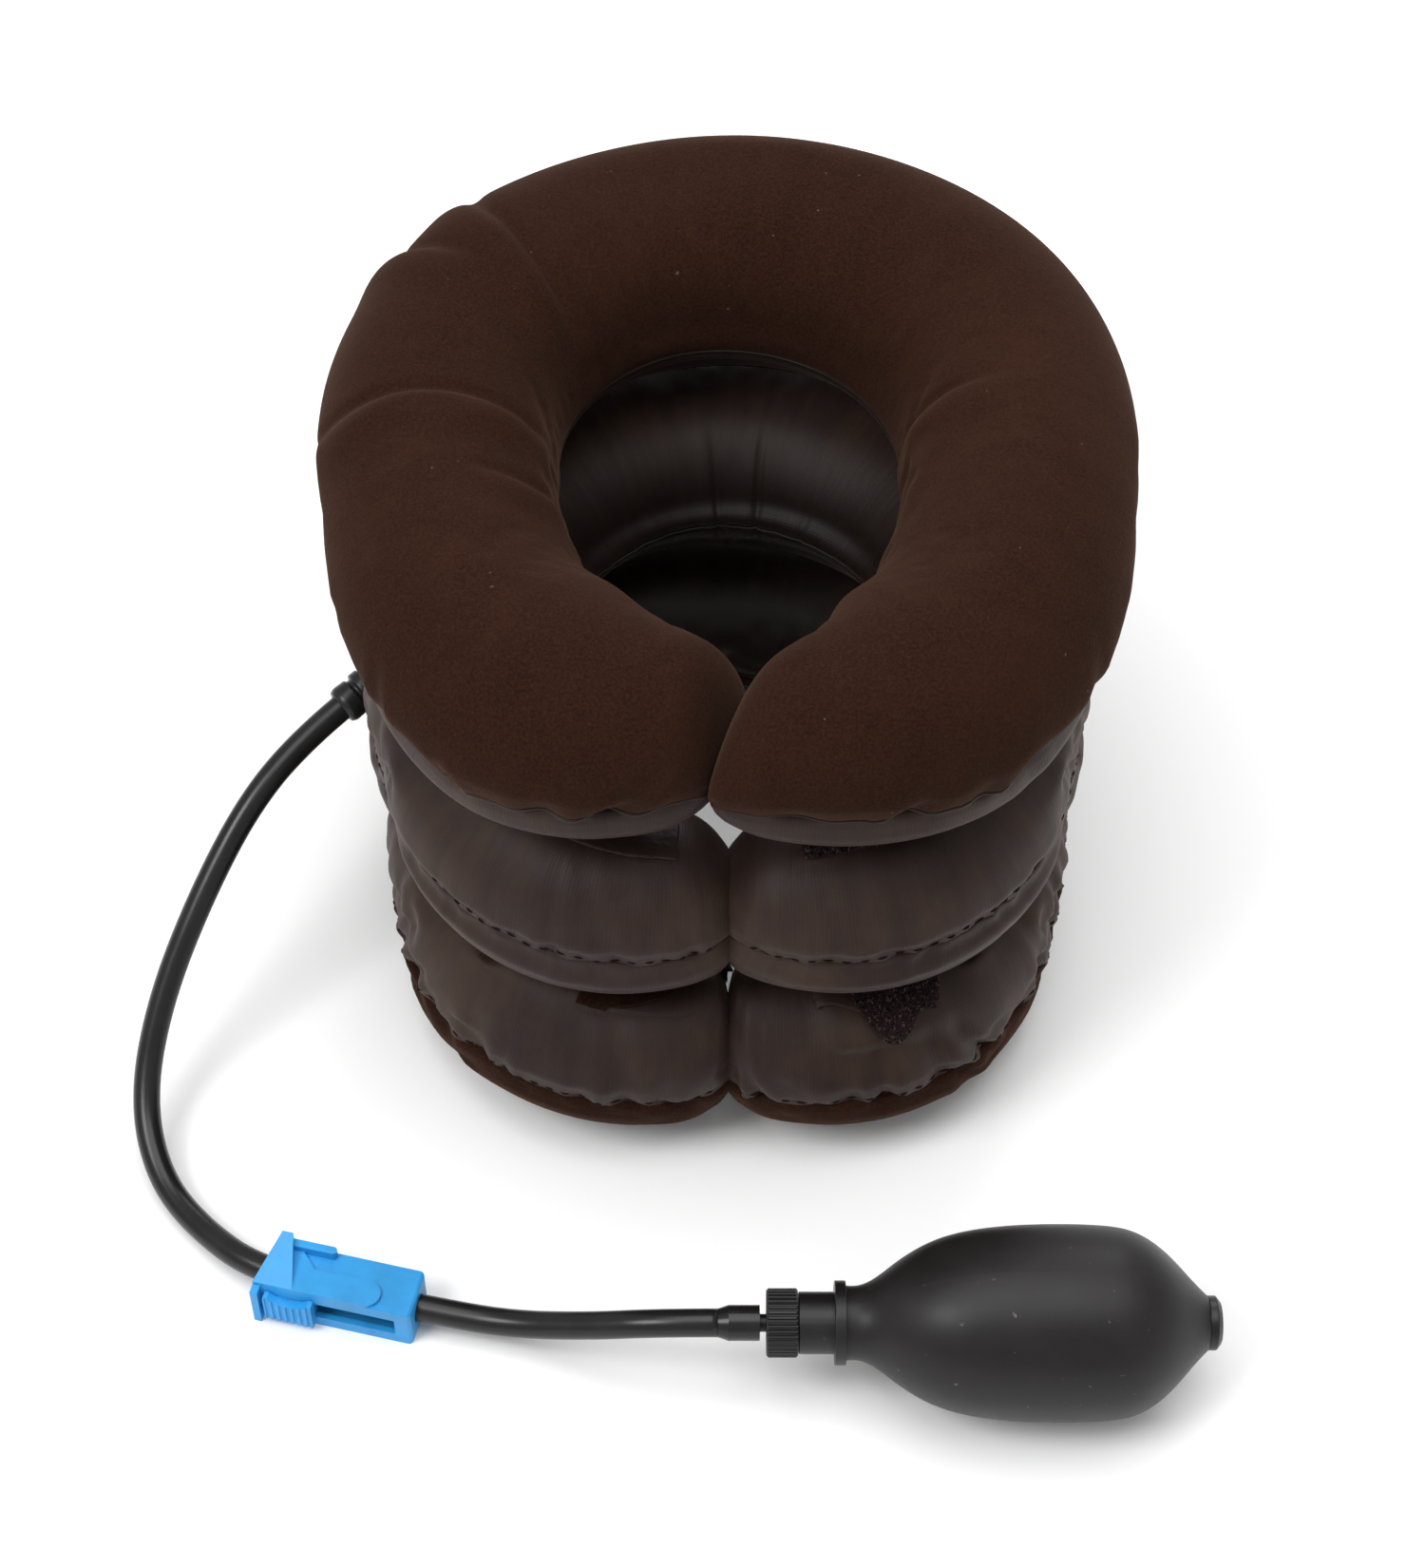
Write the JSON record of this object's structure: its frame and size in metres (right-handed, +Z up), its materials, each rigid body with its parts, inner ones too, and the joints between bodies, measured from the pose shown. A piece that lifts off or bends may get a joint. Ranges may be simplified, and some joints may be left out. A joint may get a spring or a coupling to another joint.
{
  "type": "cervical traction device",
  "caption": "Inflatable ring collar in stacked fabric tiers, split at the front, with an air tube, slide clamp and hand bulb.",
  "frame": {"origin": "centre of the neck opening, on the plane the collar stands on", "axes": "+Z up through the neck opening; -Y towards the front split; -X towards the side the air tube leaves"},
  "size_m": [0.3155, 0.3545, 0.1975],
  "materials": {
    "nylon": "satin woven nylon, dark brown",
    "velour": "brushed velour, dark brown",
    "webbing": "flat woven tape, near black",
    "hook_and_loop": "looped pile, dark brown",
    "bladder_film": "soft film, matte",
    "tube_rubber": "smooth, soft gloss",
    "bulb_rubber": "moulded, satin",
    "black_plastic": "moulded, satin",
    "clamp_blue": "moulded, soft gloss",
    "valve_rubber": "thin moulded disc"
  },
  "bodies": {
    "base": {"bottom_cover_nylon": "nylon", "bottom_cover_velour": "velour", "bottom_bladder": "bladder_film", "lower_closure_anchor": "velour", "lower_closure_loop": "hook_and_loop", "lower_closure_strap": "hook_and_loop", "air_tube": "tube_rubber", "clamp_body": "clamp_blue", "tube_flared_end": "tube_rubber", "hose_nipple": "black_plastic", "seal_washer": "valve_rubber", "valve_body": "black_plastic", "bulb": "bulb_rubber", "intake_valve": "black_plastic", "intake_retainer": "black_plastic"},
    "middle_tier": {"middle_cover_upper": "nylon", "middle_cover_lower": "nylon", "middle_bladder": "bladder_film", "upper_closure_loop": "hook_and_loop", "upper_closure_tab": "hook_and_loop", "join_tape_lower": "webbing", "air_link_lower": "bladder_film"},
    "top_tier": {"top_cover_velour": "velour", "top_cover_nylon": "nylon", "top_bladder": "bladder_film", "join_tape_upper": "webbing", "air_link_upper": "bladder_film"},
    "inlet": {"inlet_port": "black_plastic", "inlet_ferrule": "tube_rubber"},
    "clamp_slide": {"clamp_slider": "clamp_blue"},
    "slip": {"slip_ring": "black_plastic"},
    "nut": {"union_nut": "black_plastic"},
    "outlet_disc": {"outlet_check_disc": "valve_rubber"},
    "intake_disc": {"intake_check_disc": "valve_rubber"}
  },
  "joints": [
    {"name": "middle_tier_lift", "type": "slide", "parent": "base", "child": "middle_tier", "axis": [0, 0, 1], "range_m": [-0.0354, 0], "stiffness_N_per_m": 2000, "springref_m": 0.002, "deforming": ["bottom_cover_nylon", "bottom_cover_velour", "bottom_bladder", "lower_closure_anchor", "lower_closure_loop", "lower_closure_strap"]},
    {"name": "top_tier_lift", "type": "slide", "parent": "middle_tier", "child": "top_tier", "axis": [0, 0, 1], "range_m": [-0.03545, 0], "deforming": ["middle_cover_upper", "middle_cover_lower", "middle_bladder", "upper_closure_loop", "upper_closure_tab", "top_cover_velour", "top_cover_nylon", "top_bladder"]},
    {"name": "inlet_lift", "type": "slide", "parent": "base", "child": "inlet", "axis": [0, 0, 1], "range_m": [-0.0498, 0], "deforming": ["air_tube"]},
    {"name": "clamp_slide_joint", "type": "slide", "parent": "base", "child": "clamp_slide", "axis": [0.9712, -0.2384, 0], "range_m": [0, 0.022]},
    {"name": "nut_advance", "type": "slide", "parent": "base", "child": "slip", "axis": [-1, 0, 0], "range_m": [0, 0.0015]},
    {"name": "nut_turn", "type": "hinge", "parent": "slip", "child": "nut", "pos_m": [0.015, -0.1986, 0.0275], "axis": [-1, 0, 0], "range_deg": [0, 360]},
    {"name": "outlet_disc_lift", "type": "slide", "parent": "base", "child": "outlet_disc", "axis": [-1, 0, 0], "range_m": [0, 0.0008]},
    {"name": "intake_disc_lift", "type": "slide", "parent": "base", "child": "intake_disc", "axis": [-1, 0, 0], "range_m": [0, 0.0012]}
  ],
  "couplings": [
    {"joint": "top_tier_lift", "follows": "middle_tier_lift", "ratio": 1},
    {"joint": "inlet_lift", "follows": "middle_tier_lift", "ratio": 1.404},
    {"joint": "nut_turn", "follows": "nut_advance", "rad_per_m": 4188.8}
  ]
}
